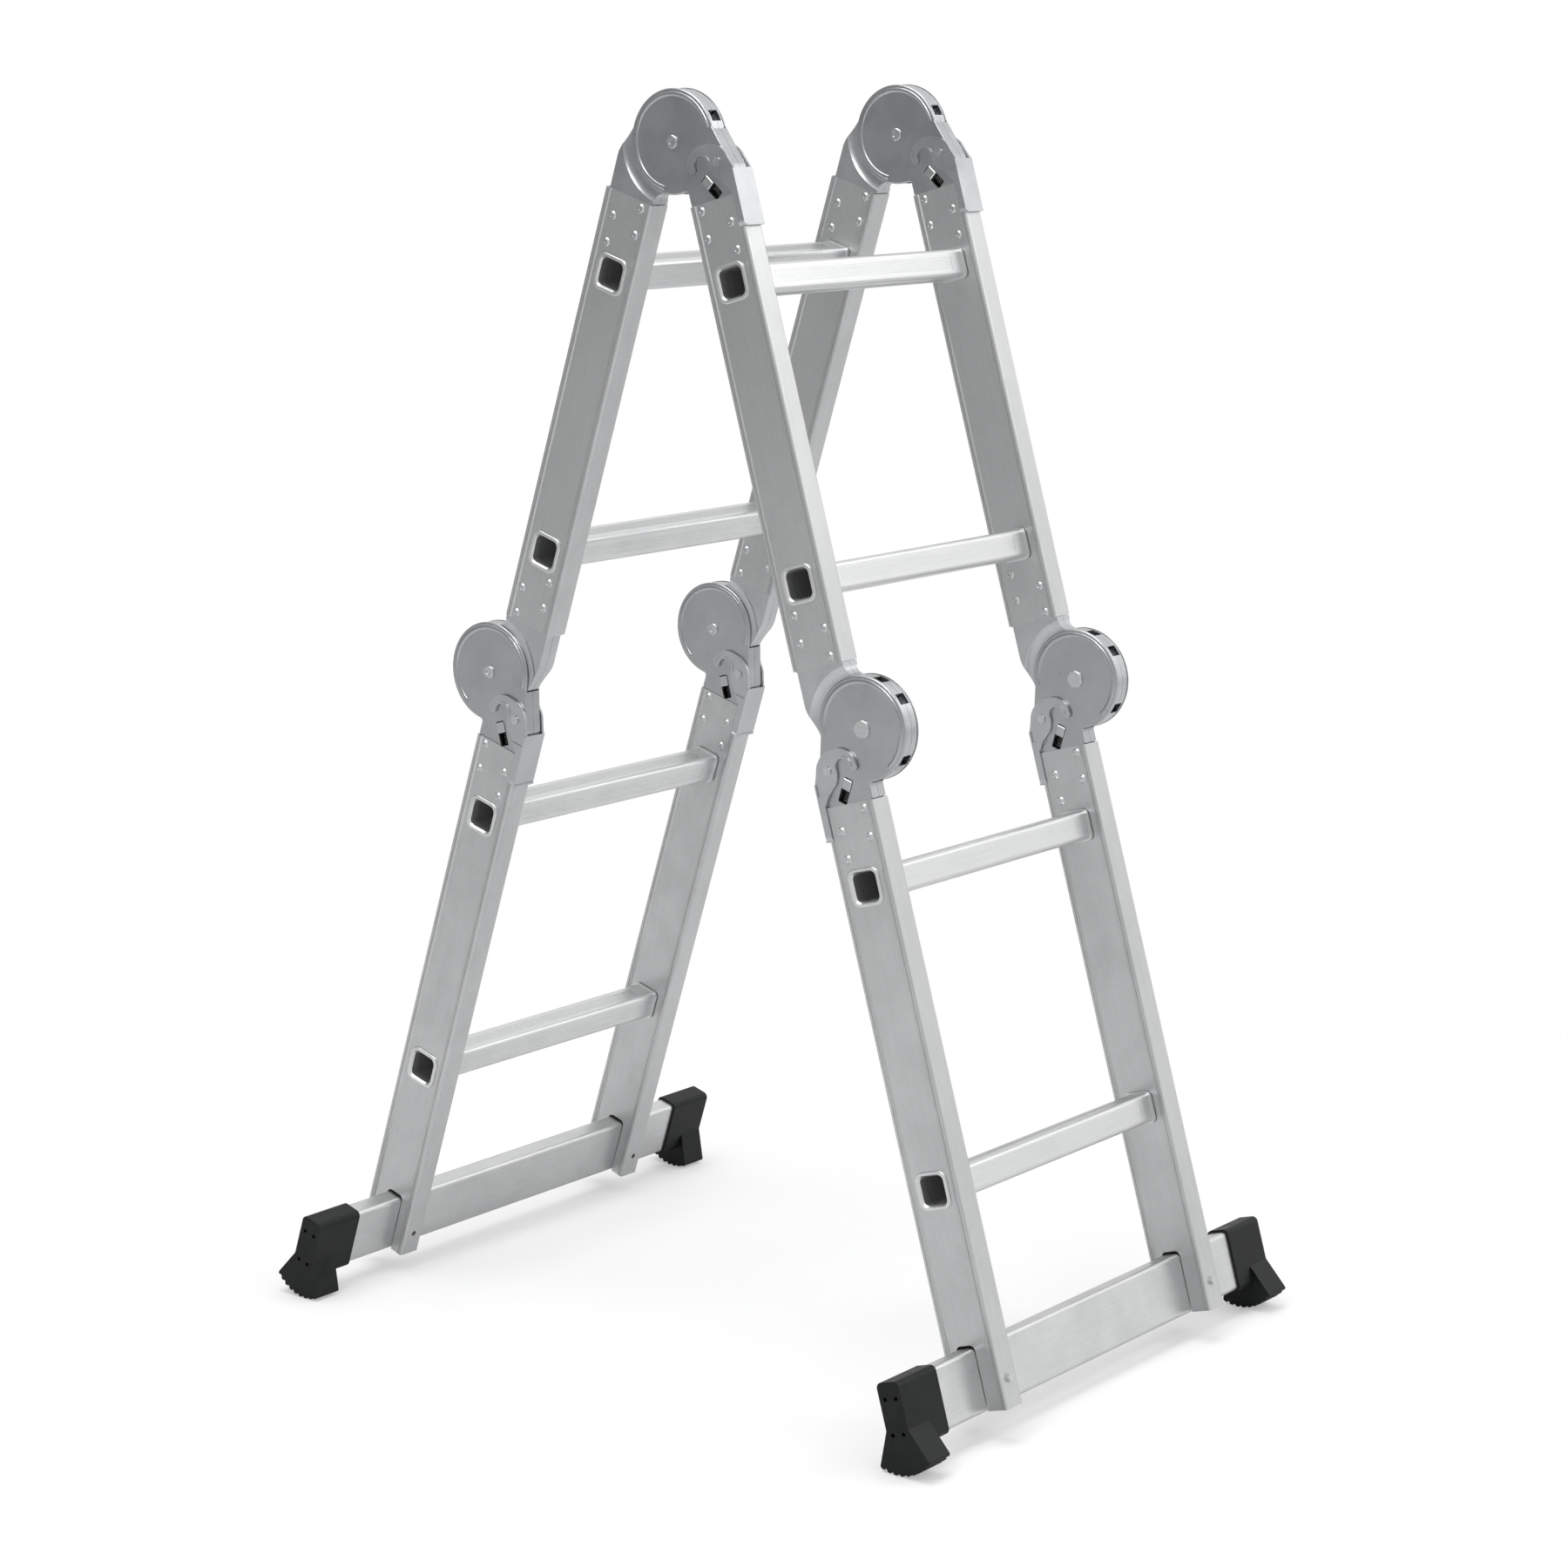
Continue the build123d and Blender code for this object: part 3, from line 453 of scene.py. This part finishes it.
def lock_line(hinge):
    """Middle of a hinge and the direction in which its tongues slide, in the ladder's frame."""
    facing = 1 if hinge.startswith("back") else -1
    down = Vector((0, facing * sin(LEAN), -cos(LEAN)))
    out = Vector((0, facing * cos(LEAN), sin(LEAN)))
    pivot = Vector((0, 0, APEX_HEIGHT))
    across = out
    if hinge != "apex":
        pivot += down * SECTION + out * 2 * RUNG_OFFSET
        across = -out
    return pivot, across * sin(LOCK_ANGLE) + down * cos(LOCK_ANGLE)


def coil(name, foot, along):
    """Tube of wire that winds round a line."""
    first = Vector((1, 0, 0))
    second = along.cross(first)
    total = COIL_TURNS * STEPS_PER_TURN
    points = []
    for i in range(total + 1):
        turn = radians(360.0 * i / STEPS_PER_TURN)
        outward = first * cos(turn) + second * sin(turn)
        centre = foot + outward * COIL_RADIUS + along * (COIL_LENGTH * i / total)
        for k in range(WIRE_SIDES):
            angle = radians(360.0 * k / WIRE_SIDES)
            points.append(centre + (outward * cos(angle) + along * sin(angle)) * WIRE_RADIUS)
    faces = []
    for i in range(total):
        here = i * WIRE_SIDES
        there = here + WIRE_SIDES
        for k in range(WIRE_SIDES):
            after = (k + 1) % WIRE_SIDES
            faces.append((here + k, here + after, there + after, there + k))
    faces.append(tuple(range(WIRE_SIDES)))
    faces.append(tuple(reversed(range(total * WIRE_SIDES, (total + 1) * WIRE_SIDES))))
    mesh = bpy.data.meshes.new(name)
    mesh.from_pydata(points, [], faces)
    mesh.polygons.foreach_set("use_smooth", [True] * len(mesh.polygons))
    piece = bpy.data.objects.new(name, mesh)
    scene.collection.objects.link(piece)
    return piece


for hinge in ("apex", "front_middle", "back_middle"):
    pivot, along = lock_line(hinge)
    for side, x in (("left", -STILE_MIDDLE), ("right", STILE_MIDDLE)):
        middle = pivot + Vector((x, 0, 0))
        spring = coil(f"{hinge}_{side}_lock_spring", middle + along * COIL_START, along)
        spring.data.materials.append(spring_look)
        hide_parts(f"{hinge}_lock_springs")
        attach(spring, body_of(nodes[f"{hinge}_left_hinge_covers"])[0])
        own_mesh(spring)

# ------------------------------------------------------------------------------------- floor
FLOOR_RADIUS = 14.0
FLOOR_CORNERS = 96
# The floor lies just under the boots, so that it shares no face with them.
FLOOR_DROP = 0.0004

rim = []
for i in range(FLOOR_CORNERS):
    turn = radians(360 * i / FLOOR_CORNERS)
    rim.append((FLOOR_RADIUS * cos(turn), FLOOR_RADIUS * sin(turn), 0))
floor_mesh = bpy.data.meshes.new("studio_floor")
floor_mesh.from_pydata(rim, [], [list(range(FLOOR_CORNERS))])
floor = bpy.data.objects.new("studio_floor", floor_mesh)
scene.collection.objects.link(floor)
floor.data.materials.append(floor_look)
floor.location.z = -FLOOR_DROP


# ------------------------------------------------------------------------------------- light
def area_light(name, location, target, size, power):
    """Round white lamp that points at target."""
    data = bpy.data.lights.new(name, "AREA")
    data.shape = "DISK"
    data.size = size
    data.energy = power
    lamp = bpy.data.objects.new(name, data)
    lamp.location = location
    lamp.rotation_euler = (Vector(target) - Vector(location)).to_track_quat("-Z", "Y").to_euler()
    scene.collection.objects.link(lamp)


area_light("key", location=(2.6, -3.4, 3.6), target=(0, 0, 0.6), size=2.6, power=45)
area_light("top", location=(-0.6, 0.2, 4.2), target=(0, 0, 0.5), size=3.0, power=85)
area_light("rim", location=(-3.4, -0.5, 3.3), target=(0, 0, 0.8), size=1.0, power=30)

# The studio's walls are bright towards the front right and overhead, and greyer to the left and
# behind. The camera itself sees plain white.
BRIGHT_SIDE = (0.62, -0.55, 0.56)
GREY_WALL = (0.25, 0.255, 0.256, 1)
BRIGHT_WALL = (0.98, 0.98, 0.98, 1)
WHITE = (1, 1, 1, 1)

world = bpy.data.worlds.new("studio")
world.use_nodes = True
scene.world = world
tree = world.node_tree
tree.nodes.clear()
direction = tree.nodes.new("ShaderNodeTexCoord")
dot = tree.nodes.new("ShaderNodeVectorMath")
dot.operation = "DOT_PRODUCT"
dot.inputs[1].default_value = Vector(BRIGHT_SIDE).normalized()
tree.links.new(direction.outputs["Generated"], dot.inputs[0])
ramp = tree.nodes.new("ShaderNodeValToRGB")
ramp.color_ramp.interpolation = "EASE"
low, high = ramp.color_ramp.elements
low.position = 0.0
low.color = GREY_WALL
high.position = 1.0
high.color = BRIGHT_WALL
level = tree.nodes.new("ShaderNodeMapRange")
level.inputs["From Min"].default_value = -1.0
level.inputs["From Max"].default_value = 1.0
tree.links.new(dot.outputs["Value"], level.inputs["Value"])
tree.links.new(level.outputs["Result"], ramp.inputs["Fac"])
walls = tree.nodes.new("ShaderNodeBackground")
tree.links.new(ramp.outputs["Color"], walls.inputs["Color"])
seen = tree.nodes.new("ShaderNodeBackground")
seen.inputs["Color"].default_value = WHITE
path = tree.nodes.new("ShaderNodeLightPath")
pick = tree.nodes.new("ShaderNodeMixShader")
tree.links.new(path.outputs["Is Camera Ray"], pick.inputs["Fac"])
tree.links.new(walls.outputs["Background"], pick.inputs[1])
tree.links.new(seen.outputs["Background"], pick.inputs[2])
end = tree.nodes.new("ShaderNodeOutputWorld")
tree.links.new(pick.outputs["Shader"], end.inputs["Surface"])

# ------------------------------------------------------------------------------------ camera
AZIMUTH = radians(-52.191)
ELEVATION = radians(9.229)
ROLL = radians(0.676)
CAMERA_PLACE = (-2.8948, -2.2398, 1.2729)
SENSOR_WIDTH = 36.0
LENS = 87.86
SHIFT_UP = -0.10

back = Vector((sin(AZIMUTH) * cos(ELEVATION), -cos(AZIMUTH) * cos(ELEVATION), sin(ELEVATION)))
right = Vector((cos(AZIMUTH), sin(AZIMUTH), 0))
up = back.cross(right)
turned_right = right * cos(ROLL) + up * sin(ROLL)
turned_up = up * cos(ROLL) - right * sin(ROLL)
camera_data = bpy.data.cameras.new("camera")
camera_data.sensor_width = SENSOR_WIDTH
camera_data.lens = LENS
camera_data.shift_y = SHIFT_UP
camera = bpy.data.objects.new("camera", camera_data)
turned = Matrix((turned_right, turned_up, back)).transposed().to_4x4()
camera.matrix_world = Matrix.Translation(CAMERA_PLACE) @ turned
scene.collection.objects.link(camera)
scene.camera = camera
scene.view_settings.view_transform = "Standard"
